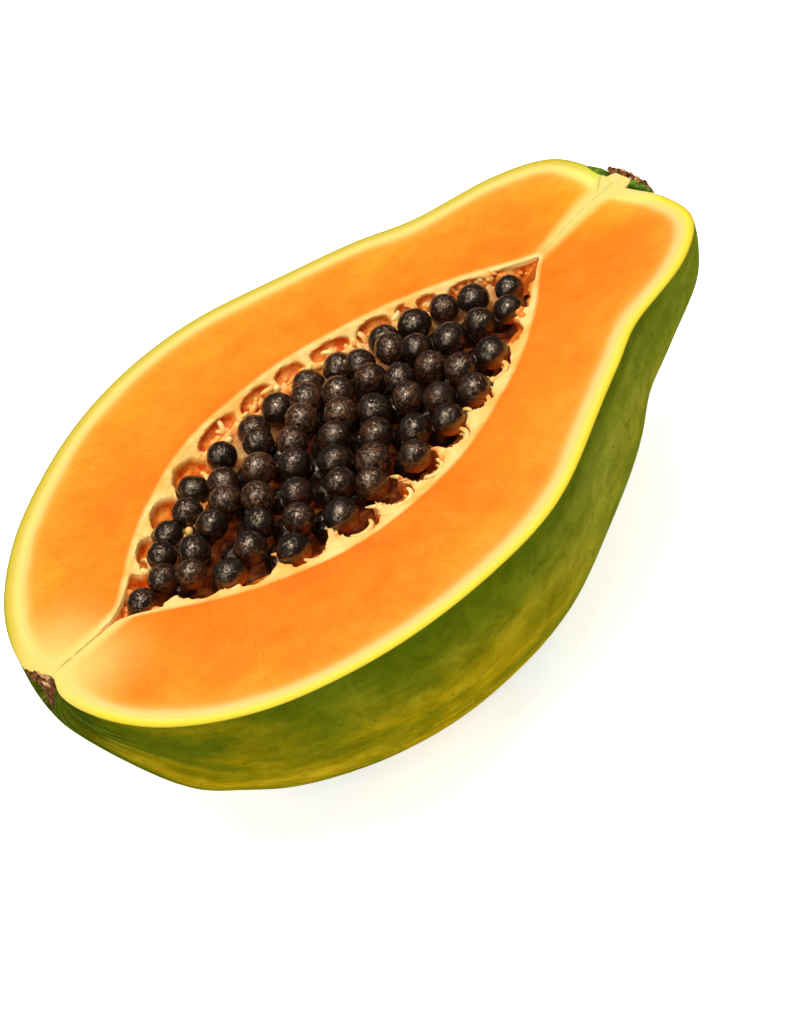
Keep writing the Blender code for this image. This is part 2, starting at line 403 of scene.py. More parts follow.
class Finish(Nodes):
    """A node material."""

    def __init__(self, name):
        self.material = bpy.data.materials.new(name)
        self.material.use_nodes = True
        super().__init__(self.material.node_tree)
        self.shader = self.tree.nodes["Principled BSDF"]

    def wear(self, **values):
        for key, value in values.items():
            self.feed(self.shader.inputs[key.replace("_", " ")], value)
        return self.material

    def coat(self, colour, grain, dull, gloss, relief, **more):
        """Colour, dullness between two limits along a grain, gloss, and relief: height, depth, strength."""
        return self.wear(Base_Color=colour, Roughness=self.span(grain, 0.3, 0.7, *dull),
                         Specular_IOR_Level=gloss, Normal=self.bump(*relief), **more)


# ---------------------------------------------------------------- the fruit

OUTLINE = even_stations(smooth_outline(FRUIT_OUTLINE, 24), STATIONS)
RIM = even_stations(smooth_outline(CAVITY_OUTLINE, 24), STATIONS)


def loop_of(line, axis):
    """The closed loop of an outline: out along the far side and back along the near one."""
    far = np.column_stack([line[:, 0], line[:, 1] + axis(line[:, 0])])
    near = np.column_stack([line[:, 0], -line[:, 1] + axis(line[:, 0])])
    return np.vstack([far, near[-2:0:-1]])


def tuck(x, deep):
    """How far the near side of the neck is drawn in."""
    drawn, middle, along, down = NECK_TUCK
    return drawn * np.exp(-((x - middle) / along) ** 2 - (deep / down) ** 2)


def cut_edge():
    loop = loop_of(OUTLINE, fruit_drift)
    loop[STATIONS + 1:, 1] += tuck(loop[STATIONS + 1:, 0], 0.0)
    loop[:, 0] += notch(loop[:, 0], loop[:, 1])
    return loop


def wall_phase(x, walls):
    """Where a place lies between two pocket walls: -1 to 1, and half the room between them."""
    walls = np.array(walls)
    at = np.clip(np.searchsorted(walls, x), 1, len(walls) - 1)
    half = 0.5 * (walls[at] - walls[at - 1])
    return (x - walls[at] + half) / half, half


def pocket(x, down, walls, wall, top, height, softness):
    """How deep a seed pocket is, 0 to 1, at a distance along the fruit and down the wall."""
    phase, half = wall_phase(x, walls)
    number_of = np.clip(np.searchsorted(np.array(walls), x), 1, len(walls) - 1)
    height = height * (1.0 + 0.16 * np.sin(2.4 * number_of + 1.0))
    lean = 0.16 * np.sin(1.7 * number_of) * (down - top - 0.5 * height) / half
    across = np.clip(np.abs(phase + lean) * half / np.maximum(half - 0.5 * wall, 0.4), 0.0, 2.0)
    upright = (down - top - 0.5 * height) / (0.5 * height)
    outside = (x < walls[0]) | (x > walls[-1])
    reach = np.where(outside, 0.0, across ** 2.3) + np.abs(upright) ** 2.4
    return fade(1.0 + 0.18 * rough(x, down + 0.0 * x, 1.8, top) - reach, -0.02, softness)


def fruit_shape():
    """Places of the fruit's points by ring and station, with the numbers its finishes read."""
    outer = cut_edge()
    inner = loop_of(RIM, cavity_axis)
    count = len(outer)
    across = np.hypot(*(inner - outer).T)
    far = np.arange(count) <= STATIONS

    def on_face(share, height=0.0):
        return np.column_stack([outer + (inner - outer) * share[:, None], np.full(count, height)])

    low, high = EDGE_RINGS[-1] / across, 1.0 - RIM_RINGS[0] / across
    rings = [on_face(0.0 * across, -0.12)]
    rings += [on_face(step / across) for step in EDGE_RINGS]
    rings += [on_face(low + (high - low) * step / (MIDDLE_RINGS + 1)) for step in range(1, MIDDLE_RINGS + 1)]
    rings += [on_face(1.0 - step / across, -0.25 * math.exp(-(step / 0.7) ** 2)) for step in RIM_RINGS]
    flat = len(rings)
    ahead, behind = np.roll(inner, -1, axis=0), np.roll(inner, 1, axis=0)
    run = ahead - behind
    run /= np.maximum(np.hypot(*run.T), 1e-9)[:, None]
    inward = np.column_stack([run[:, 1], -run[:, 0]])
    axis = cavity_axis(inner[:, 0])
    half = np.abs(inner[:, 1] - axis)
    room = np.clip(half / 13.0, 0.0, 1.0) ** 0.85
    low_pits = 1.0 - fade(inner[:, 0], *LOW_POCKETS)
    steep = 0.74 - 0.34 * low_pits
    tip = 1.0 - fade(half, 2.0, 5.5)
    widest, deepest = 0.92 * half + 0.05, 0.5 + 1.25 * half
    reach = np.interp(inner[:, 0], NEAR_WALLS, NEAR_REACH) + 3.2 * (
        1.0 - np.clip(np.abs(wall_phase(inner[:, 0], NEAR_WALLS)[0]), 0.0, 1.0) ** 2)
    hollows, downs = [], []
    for step in range(WALL_RINGS):
        down = step * WALL_STEP
        past = np.maximum(down - reach, 0.0)
        lie_far = np.sqrt(1.0 - steep ** 2) * down
        drop_far = steep * down
        lie_near = 0.98 * (down - past) + 0.25 * past
        drop_near = 0.05 * down + 1.05 * past
        lie = np.where(far, lie_far, lie_near) * room
        drop = np.where(far, drop_far, drop_near) * (0.35 + 0.65 * room)
        pit_far = pocket(inner[:, 0], down, FAR_WALLS, 1.0, 0.55, 3.9 + 6.2 * low_pits, 0.45)
        pit_near = pocket(inner[:, 0], down, NEAR_WALLS, 0.9, 0.9, 17.0, 0.2)
        hollow = np.where(far, pit_far, pit_near) * fade(room, 0.2, 0.75)
        out = -np.where(far, FAR_POCKET[0], NEAR_POCKET[0]) * hollow
        sink = hollow * np.where(far, FAR_POCKET[1] + 1.6 * low_pits,
                                 NEAR_POCKET[1] + 0.4 * max(down - 1.5, 0.0))
        wander = 0.22 * rough(inner[:, 0], inner[:, 1] + 3.0 * down, 1.9, 4.0) * fade(down, 0.3, 2.0) * room
        lie = lie + out + wander
        place = inner + inward * (lie / (1.0 + np.abs(lie / widest) ** 4) ** 0.25)[:, None]
        deep = np.maximum(0.25 + drop + sink - wander + tip * 1.4 * down, 0.0)
        deep = deep / (1.0 + (deep / deepest) ** 4) ** 0.25
        rings.append(np.column_stack([place, -deep]))
        hollows.append(np.maximum(hollow, tip * float(fade(down, 0.3, 1.0))))
        downs.append(down)
    last = rings[-1]
    keel = np.column_stack([inner[:, 0], axis, np.minimum(-half * 0.98, last[:, 2]) - 0.1])
    for step in range(1, FLOOR_RINGS + 1):
        bend = 0.5 * math.pi * step / FLOOR_RINGS
        share = np.array([1.0 - math.cos(bend), 1.0 - math.cos(bend), math.sin(bend)])
        rings.append(last + (keel - last) * share)
        hollows.append(np.zeros(count))
        downs.append(WALL_RINGS * WALL_STEP + 3.0 * step)
    return np.array(rings), flat, np.array(hollows), np.array(downs)


def skin_point(station, turn):
    x, half = OUTLINE[station, 0], OUTLINE[station, 1]
    under = np.sin(turn)
    lobes = 1.0 - 0.010 * under ** 2 * (0.5 + 0.5 * np.cos(5.0 * turn + 0.6))
    pleats = 1.0 - 0.05 * fade(x, 150.0, 160.0) * under * (0.5 + 0.5 * np.cos(11.0 * turn))
    dents = 1.0 - 0.006 * under * (0.5 + 0.5 * np.sin(x / 9.0 + 3.0 * turn) * np.sin(x / 21.0 + 2.0))
    swell = FULLNESS + sum(share * np.exp(-((x - middle) / length) ** 2) for share, middle, length in BULGES)
    half = half * lobes * pleats * dents * (1.0 + swell * np.sin(2.0 * turn) ** 2)
    deep = np.maximum(-DEPTH_RATIO * half * under, 0.02 - CUT_HEIGHT)
    side = half * np.cos(turn) + fruit_drift(x) + np.where(turn > 0.5 * np.pi, tuck(x, deep), 0.0)
    x = x + notch(x, side) * np.exp(-(np.abs(deep) / 3.6) ** 1.6)
    return np.column_stack([x, side, deep])


def distance_to_loop(places, loop):
    """Shortest way from each place to a closed loop in plan."""
    ends = np.roll(loop, -1, axis=0)
    best = np.full(len(places), 1e9)
    for start, end in zip(loop[::2], ends[1::2]):
        along = end - start
        t = np.clip(((places - start) @ along) / max(along @ along, 1e-9), 0.0, 1.0)
        best = np.minimum(best, np.hypot(*(places - start - t[:, None] * along).T))
    return best


def press_in(places, middles, radii):
    """Presses the seeds' round shapes into the cavity wall, sideways above their middles."""
    for middle, radius in zip(middles, radii + 0.2):
        away = places - middle
        inside = np.linalg.norm(away, axis=1) < radius
        away = away[inside]
        level = away * np.array([1.0, 1.0, 0.0])
        rise = np.maximum(away[:, 2], 0.0)
        width = np.maximum(np.linalg.norm(level, axis=1), 1e-6)
        sideways = level * (np.sqrt(radius ** 2 - rise ** 2) / width)[:, None]
        sideways[:, 2] = rise
        outwards = away * (radius / np.maximum(np.linalg.norm(away, axis=1), 1e-6))[:, None]
        places[inside] = middle + np.where(away[:, 2:] > 0.0, sideways, outwards)


def make_fruit(materials, seeds):
    body = added(bpy.ops.mesh.primitive_uv_sphere_add, "papaya_flesh_and_rind", segments=SIDES,
                 ring_count=STATIONS, radius=1.0, rotation=(0.0, 0.5 * math.pi, 0.0))
    settle(body)
    edit(body)
    bpy.ops.mesh.bisect(plane_co=(0.0, 0.0, 0.0), plane_no=(0.0, 0.0, 1.0), clear_outer=True, threshold=1e-5)
    done()
    co = points(body)
    station = np.rint(np.arccos(np.clip(-co[:, 0], -1.0, 1.0)) / math.pi * STATIONS).astype(int)
    turn = np.arctan2(np.maximum(-co[:, 2], 0.0), co[:, 1])
    pole = (station == 0) | (station == STATIONS)
    turn = np.where(pole, 0.0, turn)
    edge = (np.abs(co[:, 2]) < 1e-5)
    loop = np.where(~edge, -1, np.where((co[:, 1] > 0.0) | pole, station, 2 * STATIONS - station))
    loop = np.where(edge & pole, station, loop)
    mesh = body.data
    for name in ("loop", "ring"):
        mesh.attributes.new(name, "INT", "POINT")
    mesh.attributes["loop"].data.foreach_set("value", loop.astype(np.int32))
    number(body, "around", turn)
    number(body, "along", station / STATIONS)
    places = skin_point(station, turn)

    rings, flat, hollows, downs = fruit_shape()
    edit(body, "EDGE", "DESELECT")
    bpy.ops.mesh.select_non_manifold(extend=False, use_wire=False, use_boundary=True,
                                     use_multi_face=False, use_non_contiguous=False, use_verts=False)
    for ring in range(1, len(rings)):
        bpy.ops.mesh.extrude_edges_move(TRANSFORM_OT_translate={"value": (0.0, 0.0, 0.001)})
        opened = bmesh.from_edit_mesh(mesh)
        layer = opened.verts.layers.int["ring"]
        for vertex in opened.verts:
            if vertex.select:
                vertex[layer] = ring
    done()

    count = len(mesh.vertices)
    ring_of = whole_numbers(mesh.attributes["ring"].data, "value")
    loop_at = whole_numbers(mesh.attributes["loop"].data, "value")
    final = np.zeros((count, 3))
    final[:len(places)] = places
    on_rim = (ring_of == 0) & (loop_at >= 0)
    final[on_rim] = rings[0][loop_at[on_rim]]
    inner = ring_of > 0
    final[inner] = rings[ring_of[inner], loop_at[inner]]
    wall = (ring_of >= flat + 2) & (ring_of < flat + WALL_RINGS)
    pressed = final[wall]
    press_in(pressed, *seeds)
    final[wall] = pressed
    plan = final[:, :2]
    outer_loop = cut_edge()
    inner_loop = loop_of(RIM, cavity_axis)
    cut = inner & (ring_of < flat)
    wall = ring_of >= flat
    depth = np.zeros(count)
    depth[cut] = distance_to_loop(plan[cut], outer_loop)
    depth[wall] = 30.0
    far_side = plan[:, 1] > cavity_axis(plan[:, 0])
    rim = np.full(count, 60.0)
    rim[cut] = distance_to_loop(plan[cut], inner_loop)
    rim[wall] = -downs[ring_of[wall] - flat] - 0.05
    pit = np.zeros(count)
    pit[wall] = hollows[ring_of[wall] - flat, loop_at[wall]]
    number(body, "skin_depth", depth * np.where(far_side, 0.95, 1.12))
    number(body, "rim_distance", rim)
    number(body, "pit", pit)
    middle = 2.3 * fade(plan[:, 0], 133.0, 152.0) - 0.7 * (1.0 - fade(plan[:, 0], 18.0, 40.0))
    number(body, "off_axis", plan[:, 1] - middle)
    wide = 2.0 + np.where(plan[:, 1] < 1.7, 7.4, 2.9) * fade(plan[:, 0], 153.0, 160.0)
    fan = np.hypot((plan[:, 0] - 159.8) / 6.2, (plan[:, 1] - 1.7) / wide)
    number(body, "fan", fan)
    number(body, "round_loop", np.where(loop_at >= 0, loop_at, 0) / (2.0 * STATIONS))
    move_points(body, to_row(final))

    edit(body)
    bpy.ops.mesh.remove_doubles(threshold=0.00001)
    bpy.ops.mesh.normals_make_consistent(inside=False)
    done()
    smooth(body, 50.0)
    finish(body, materials, "papaya_half")
    ring_of = whole_numbers(mesh.attributes["ring"].data, "value")
    corners = whole_numbers(mesh.loops, "vertex_index")
    highest = np.maximum.reduceat(ring_of[corners], whole_numbers(mesh.polygons, "loop_start"))
    mesh.polygons.foreach_set("material_index", (highest > 0).astype(np.int32))
    for name in ("ring", "loop"):
        mesh.attributes.remove(mesh.attributes[name])
    mesh.update()
    return rings[flat:]


# ---------------------------------------------------------------- the seeds

def seed_margin(x, near):
    """How far the seeds' middles stay from the cavity's rim."""
    by_far_wall = np.clip(np.abs(wall_phase(x, FAR_WALLS)[0]), 0.0, 1.0) ** 1.5
    further, middle, along = OPEN_BAYS
    wide = np.where(near, NEAR_GAP + further * np.exp(-((x - middle) / along) ** 2),
                    FAR_GAP + 0.8 * by_far_wall)
    return wide * np.minimum(1.0, cavity_half(x) / 12.0)


def settle_seeds():
    """Middles and radii of the seeds, in rows across the fruit: every other one on top, the rest below."""
    chance = np.random.default_rng(11)
    bays = 0.5 * (np.array(NEAR_WALLS[:-1]) + np.array(NEAR_WALLS[1:]))
    rows = np.sort(np.concatenate([(28.8, 125.2), NEAR_WALLS[1:-1], bays]))
    spots = []
    for row, x in enumerate(rows):
        half, axis = float(cavity_half(x)), float(cavity_axis(x))
        low, high = axis - half + float(seed_margin(x, True)), axis + half - float(seed_margin(x, False))
        steps = round((high - low) / SEED_PITCH)
        if steps < 2:
            spots.append((x, 0.5 * (low + high), 0))
            continue
        for step in range(steps + 1):
            layer = (step + row + 1) % 2
            if not layer or 0 < step < steps:
                spots.append((x, low + (high - low) * step / steps, layer))
    spots = np.array(spots)
    top = spots[:, 2] == 0
    place = spots[:, :2] + chance.uniform(-0.6, 0.6, (len(spots), 2))
    radius = chance.uniform(*SEED_RADIUS, len(spots))
    radius *= 0.9 + 0.1 * fade(cavity_half(spots[:, 0]), 9.0, 22.0)
    lift = chance.uniform(-0.5, 0.3, len(spots))

    def rest_height(flat):
        half = np.maximum(cavity_half(flat[:, 0]), 4.0)
        side = (flat[:, 1] - cavity_axis(flat[:, 0])) / half
        fall = np.where(side > 0.0, 6.2 * np.abs(side) ** 2.2, 1.4 * np.abs(side) ** 2.6)
        return 0.2 - fall - LAYER_DROP * spots[:, 2] - (1.0 - fade(half, 5.0, 20.0))

    solid = np.column_stack([place, rest_height(place) + lift])
    home = place.copy()
    for _ in range(140):
        gap = solid[:, None, :] - solid[None, :, :]
        away = np.linalg.norm(gap, axis=2) + np.eye(len(solid)) * 99.0
        touch = np.clip((radius[:, None] + radius[None, :]) * 0.99 - away, 0.0, None)
        solid += 0.45 * (gap / away[..., None] * touch[..., None]).sum(axis=1)
        solid[:, :2] += 0.02 * (home - solid[:, :2])
        solid[:, 2] += 0.12 * (rest_height(solid[:, :2]) + lift - solid[:, 2])
        half, axis = cavity_half(solid[:, 0]), cavity_axis(solid[:, 0])
        solid[:, 1] = np.clip(solid[:, 1], axis - half + 0.92 * seed_margin(solid[:, 0], True),
                              axis + half - 0.85 * seed_margin(solid[:, 0], False))
    solid[:, 2] = np.minimum(solid[:, 2], HIGHEST_SEED - radius)
    return solid, radius, top


def make_seeds(finish_of_seeds, middles, radii, top):
    chance = np.random.default_rng(21)
    moulds = []
    for level in (4, 3):
        mould = added(bpy.ops.mesh.primitive_ico_sphere_add, "seed_mould", subdivisions=level, radius=1.0)
        co = points(mould)
        wrinkle = np.array([noise.turbulence(Vector(p) * 1.6, 2, False) for p in co])
        pimple = np.array([noise.noise(Vector(p) * 4.6) for p in co])
        co *= (1.0 + 0.03 * (wrinkle - 0.5) + 0.012 * pimple)[:, None]
        co *= np.array([1.0, 0.96, 0.94])
        move_points(mould, co)
        moulds.append(mould)
    copies = []
    for middle, radius, upper in zip(middles, radii, top):
        seed = copy_of(moulds[0 if upper else 1])
        spin = Matrix.Rotation(chance.uniform(0, 6.28), 3, Vector(chance.normal(size=3)).normalized())
        co = points(seed) @ np.array(spin)
        # Painted glow: seeds by the near rim get their lower, nearer sides painted amber. This stands in for
        # the orange flesh's light seen off and through their coats.
        edge = 1.0 - float(fade(middle[1] - cavity_axis(middle[0]) + cavity_half(middle[0]), 6.5, 13.0))
        painted_flesh_glow = edge * fade(-0.5 * co[:, 1] - 0.8 * co[:, 2], 0.05, 0.8)
        move_points(seed, to_row(co * radius + middle))
        # Painted shade: seeds under the top layer get at most 0.4 of the tint, so they come out darker than
        # the top ones.
        number(seed, "tint", np.full(len(co), chance.uniform(0.0, 1.0) * (1.0 if upper else 0.4)))
        number(seed, "painted_flesh_glow", painted_flesh_glow)
        copies.append(seed)
    for mould in moulds:
        bpy.data.objects.remove(mould)
    body = join(copies, "seeds")
    smooth(body)
    return finish(body, [finish_of_seeds], "seed_heap")


def make_seed_bed(finish_of_bed):
    """The wet pulp that the seeds lie in."""
    body = added(bpy.ops.mesh.primitive_uv_sphere_add, "seed_bed", segments=48, ring_count=72, radius=1.0,
                 rotation=(0.0, 0.5 * math.pi, 0.0))
    settle(body)
    co = points(body)
    x = BED_MIDDLE + BED_REACH * co[:, 0]
    half = np.maximum(0.78 * cavity_half(x) - 1.0, 0.4)
    ring = np.maximum(np.hypot(co[:, 1], co[:, 2]), 1e-6)
    side, rise = co[:, 1] / ring, co[:, 2] / ring
    high = -6.2 - 3.6 * np.abs(side) ** 2.5 + 0.5 * rough(x, side * half, 2.4, 2.0)
    deep = -np.maximum(half * 0.9, 6.5)
    low_edge = np.maximum(-9.0, deep)
    z = np.where(rise > 0.0, low_edge + (high - low_edge) * np.abs(rise) ** 0.6,
                 low_edge + (deep - low_edge) * np.abs(rise))
    shrink = np.clip(ring / 0.35, 0.0, 1.0)
    place = np.column_stack([x, side * half * shrink + cavity_axis(x),
                             z * shrink + low_edge * (1.0 - shrink)])
    move_points(body, to_row(place))
    smooth(body)
    return finish(body, [finish_of_bed], "seed_heap")


# ---------------------------------------------------------------- the cream stalks that held the seeds

def stalk_mould(lengths, widths, bend):
    """A short round stalk that curls over; it grows along +Z and bends towards +X."""
    body = added(bpy.ops.mesh.primitive_circle_add, "stalk_mould", vertices=8, radius=widths[0],
                 fill_type="NGON")
    edit(body)
    tip, lean = Vector((0.0, 0.0, 0.0)), 0.0
    for length, before, width in zip(lengths, widths, widths[1:]):
        lean += math.radians(bend) * length
        step = Vector((math.sin(lean), 0.0, math.cos(lean))) * length
        tip += step
        bpy.ops.mesh.extrude_region_move(TRANSFORM_OT_translate={"value": step})
        bpy.ops.transform.rotate(value=-math.radians(bend) * length, orient_axis="Y", center_override=tip)
        bpy.ops.transform.resize(value=(width / before,) * 3, center_override=tip)
    bpy.ops.mesh.select_all(action="SELECT")
    bpy.ops.mesh.normals_make_consistent(inside=False)
    done()
    rounder = body.modifiers.new("rounder", "SUBSURF")
    rounder.levels = rounder.render_levels = 1
    bpy.ops.object.modifier_apply(modifier="rounder")
    return body


def make_stalks(wall, finish_of_stalks):
    """Curls and lumps low in the far pockets, half rings in the near ones, points on the near walls."""
    chance = np.random.default_rng(5)
    loop = loop_of(RIM, cavity_axis)
    curl = stalk_mould((0.75,) * 6, (0.58, 0.54, 0.50, 0.45, 0.40, 0.33, 0.14), 44.0)
    half_ring = stalk_mould((0.85,) * 8, (0.30, 0.42, 0.50, 0.54, 0.56, 0.54, 0.50, 0.42, 0.26), 27.0)
    point = stalk_mould((0.8, 0.8, 0.7, 0.5), (0.60, 0.42, 0.32, 0.24, 0.10), 14.0)
    blob = stalk_mould((0.35, 0.35, 0.3), (0.62, 0.78, 0.66, 0.25), 20.0)
    copies = []

    def on_wall(x, far, down):
        half = np.arange(len(loop)) <= STATIONS
        at = int(np.argmin(np.abs(loop[:, 0] - x) + np.where(half == far, 0.0, 500.0)))
        return wall[min(int(round(down / WALL_STEP)), WALL_RINGS - 1), at]

    def plant(mould, foot, grow, towards, size, tint=None):
        grow = Vector(grow).normalized()
        bend = Vector(towards)
        bend = (bend - bend.dot(grow) * grow).normalized()
        basis = np.array([bend, grow.cross(bend), grow])
        stalk = copy_of(mould)
        co = points(stalk) * size * np.array([1.0, chance.uniform(0.85, 1.15), 1.0])
        move_points(stalk, to_row(co @ basis + np.array(foot) - 0.25 * np.array(grow)))
        number(stalk, "tint", np.full(len(co), chance.uniform(0.0, 1.0) if tint is None else tint))
        copies.append(stalk)

    for start, end in zip(FAR_WALLS, FAR_WALLS[1:]):
        room = end - start
        low = start < 56.0
        for level, kinds, size in ((2.9, 0.7, 1.1), (4.0, 0.5, 1.25), (5.6, 0.3, 1.3)):
            for share in np.arange(0.30 if level < 4.0 else 0.05, 0.98, 1.9 / room):
                x = start + room * (share + chance.uniform(-0.06, 0.06))
                down = (level + 3.6 if low else level) + chance.uniform(-0.6, 0.6)
                down *= min(1.0, float(cavity_half(x)) / 18.0)
                turn = chance.uniform(0.0, 6.28)
                plant(curl if chance.uniform() < kinds else blob, on_wall(x, True, down),
                      (chance.uniform(-0.5, 0.5), -0.7, chance.uniform(0.3, 0.9)),
                      (math.cos(turn), math.sin(turn), 0.2), size * chance.uniform(0.75, 1.1))
    for start, end in zip(NEAR_WALLS, NEAR_WALLS[1:]):
        middle, room = 0.5 * (start + end), end - start
        if cavity_half(middle) < 19.0:
            continue
        near_rim = float(cavity_axis(middle) - cavity_half(middle))
        slope = float(cavity_axis(middle + 1.0) - cavity_half(middle + 1.0)) - near_rim
        along, into = Vector((1.0, slope, 0.0)).normalized(), Vector((-slope, 1.0, 0.0)).normalized()
        size = min(1.15, (room - 3.4) / 4.0)
        for level, shift, scale in ((1.1, 0.2, 1.0), (2.2, 1.3, 0.75)):
            share = chance.uniform(-0.6, 0.6)
            foot = Vector((middle, near_rim, -level)) + along * (share - 2.0 * size * scale) + into * (
                0.75 + shift + 2.0 * size * scale)
            grow = -into + Vector((0.0, 0.0, chance.uniform(-0.15, 0.15)))
            plant(half_ring, foot, grow, along, size * scale)
        for _ in range(6):
            turn = chance.uniform(0.0, 6.28)
            kind = curl if chance.uniform() < 0.5 else blob
            foot = on_wall(middle + chance.uniform(-0.36, 0.36) * room, False, chance.uniform(2.5, 6.0))
            plant(kind, foot, (chance.uniform(-0.5, 0.5), 0.6, 0.8), (math.cos(turn), math.sin(turn), 0.0),
                  chance.uniform(0.7, 1.15))
    for x, reach in zip(NEAR_WALLS[1:], NEAR_REACH[1:]):
        if cavity_half(x) > 8.0:
            for share, size in ((0.96, 1.15), (0.72, 0.9), (0.5, 0.7), (0.3, 0.6)):
                foot = np.array(on_wall(x + chance.uniform(-0.2, 0.2), False, reach * share))
                side = chance.uniform(-0.9, 0.9)
                inwards = 1.0 if share > 0.9 else 0.6
                plant(point, foot - (0.0, 0.0, 0.25), (side, inwards, chance.uniform(-0.1, 0.25)),
                      (0.0, 1.0, -0.6), size * chance.uniform(0.85, 1.2))
    for x in (*np.arange(20.6, 28.0, 0.8), *np.arange(121.5, 132.5, 0.8)):
        for far in (True, False):
            size = chance.uniform(1.0, 1.5) * min(1.0, float(cavity_half(x)) / 5.0 + 0.15)
            foot = on_wall(x + chance.uniform(-0.3, 0.3), far, chance.uniform(1.6, 3.4))
            plant(blob, foot, (0.0, 0.0, 1.0), (1.0, chance.uniform(-1.0, 1.0), 0.0), size, -0.6)
    for mould in (curl, half_ring, point, blob):
        bpy.data.objects.remove(mould)
    body = join(copies, "seed_stalks")
    smooth(body)
    return finish(body, [finish_of_stalks], "papaya_half")


# ---------------------------------------------------------------- the two ends

def lump(name, middle, size, level, crumple, scale, seed, sharp=False, top=1.25, slope=0.0, taper=0.0):
    """A crumpled lump, by its middle and half sizes: flat above its top, rising and thinning along Y."""
    body = added(bpy.ops.mesh.primitive_ico_sphere_add, name, subdivisions=level, radius=1.0)
    co = points(body)
    folds = np.array([noise.noise(Vector(p * np.array(size)) / scale + Vector((seed, 0.0, 0.0))) for p in co])
    if sharp:
        folds = 1.0 - 2.0 * np.abs(folds)
    place = co * np.array(size) + co * (crumple * folds)[:, None]
    place[:, 0] *= 1.0 - taper * co[:, 1]
    place += np.array(middle)
    place[:, 0] = np.minimum(place[:, 0], STUB_END)
    place[:, 2] = np.minimum(place[:, 2] + slope * (place[:, 1] - middle[1]), top)
    move_points(body, to_row(place))
    return body


def make_stem_stub(finishes):
    """The cut stalk: a pale pad let into the cut face, a brown crumbled end and two green shoulders."""
    chance = np.random.default_rng(3)
    pad = added(bpy.ops.mesh.primitive_cylinder_add, "stub_pad", vertices=32, radius=1.0, depth=1.0,
                rotation=(0.0, 0.5 * math.pi, 0.0))
    settle(pad)
    edit(pad)
    bpy.ops.mesh.bisect(plane_co=(0.0, 0.0, 0.0), plane_no=(0.0, 0.0, 1.0), clear_outer=True, use_fill=True)
    for cut in (-0.25, 0.0, 0.25):
        bpy.ops.mesh.select_all(action="SELECT")
        bpy.ops.mesh.bisect(plane_co=(cut, 0.0, 0.0), plane_no=(1.0, 0.0, 0.0))
    done()
    co = points(pad)
    share = co[:, 0] + 0.5
    wide = 3.2 + 0.4 * np.sin(math.pi * share) - 0.9 * share
    place = np.column_stack([157.4 + (4.1 - 0.7 * co[:, 1] ** 2) * share, STUB_MIDDLE + co[:, 1] * wide,
                             -0.04 + co[:, 2] * wide * 0.95])
    place[:, 0] += 0.35 * rough(place[:, 1], place[:, 0], 0.9, 5.0) * (share > 0.5)
    move_points(pad, to_row(place))
    pad.data.materials.append(finishes[0])
    smooth(pad, 40.0)
    parts = [pad]

    def add(middle, size, level, crumple, scale, seed, kind, **more):
        part = lump("stub", middle, size, level, crumple, scale, seed, **more)
        part.data.materials.append(finishes[kind])
        smooth(part)
        parts.append(part)

    for share in np.linspace(0.0, 1.0, 12):
        y = 6.1 - 9.8 * share
        x = 161.85 - 3.4 * (share - 0.42) ** 2
        for kind in (1, 3 if chance.uniform() < 0.7 else 1, 1):
            middle = (x + chance.uniform(-0.9 if kind == 3 else -0.5, 0.4), y + chance.uniform(-0.35, 0.35),
                      chance.uniform(-0.5, -0.1))
            size = (chance.uniform(0.22, 0.4), chance.uniform(0.3, 0.55), chance.uniform(0.3, 0.6))
            add(middle, size, 3, 0.2, 0.45, 9.0 * share, kind, sharp=True)
    for turn in np.linspace(0.15, math.pi - 0.15, 9):
        middle = (161.2, 1.2 + 4.4 * math.cos(turn), -4.6 * math.sin(turn) - 0.5)
        add(middle, (0.8, 1.2, 1.2), 3, 0.4, 0.8, 3.0 * turn, 1, sharp=True)
    add((161.1, 1.2, -1.9), (0.85, 4.5, 2.1), 4, 0.25, 0.9, 2.0, 1, top=-0.35)
    shoulders = (((159.6, 8.7, -1.1), (1.0, 4.0, 1.7), 0.7), ((160.3, -3.8, -1.2), (1.3, 3.5, 2.0), -0.2))
    for middle, size, taper in shoulders:
        add(middle, size, 4, 0.10, 1.8, middle[1], 2, top=0.12, taper=taper)
    for share in np.linspace(0.0, 1.0, 5):
        middle = (161.4 - 0.9 * share, -2.6 - 3.4 * share, -0.3)
        add(middle, (0.28, 0.7, 0.4), 3, 0.2, 0.6, 4.0 + share, 1, sharp=True, top=0.2)
    return dress(join(parts, "stem_stub_crust"), finishes, "stem_stub")


def dress(body, finishes, node):
    """Finishes a joined body, keeping which finish each of its parts has."""
    order = [slot_of.material for slot_of in body.material_slots]
    index = whole_numbers(body.data.polygons, "material_index")
    fixed = np.array([finishes.index(item) for item in order], np.int32)[index]
    finish(body, finishes, node)
    body.data.polygons.foreach_set("material_index", fixed)
    return body


def blossom_skin(y, z):
    """Where the skin lies at the blossom end, as a distance along the fruit."""
    round_axis = math.hypot(y - BLOSSOM_DRIFT, z / DEPTH_RATIO)
    line = OUTLINE[OUTLINE[:, 0] < 60.0]
    x = float(np.interp(round_axis, line[:, 1], line[:, 0]))
    return x + float(notch(np.array(x), np.array(y))) * math.exp(-(abs(z) / 3.6) ** 1.6)


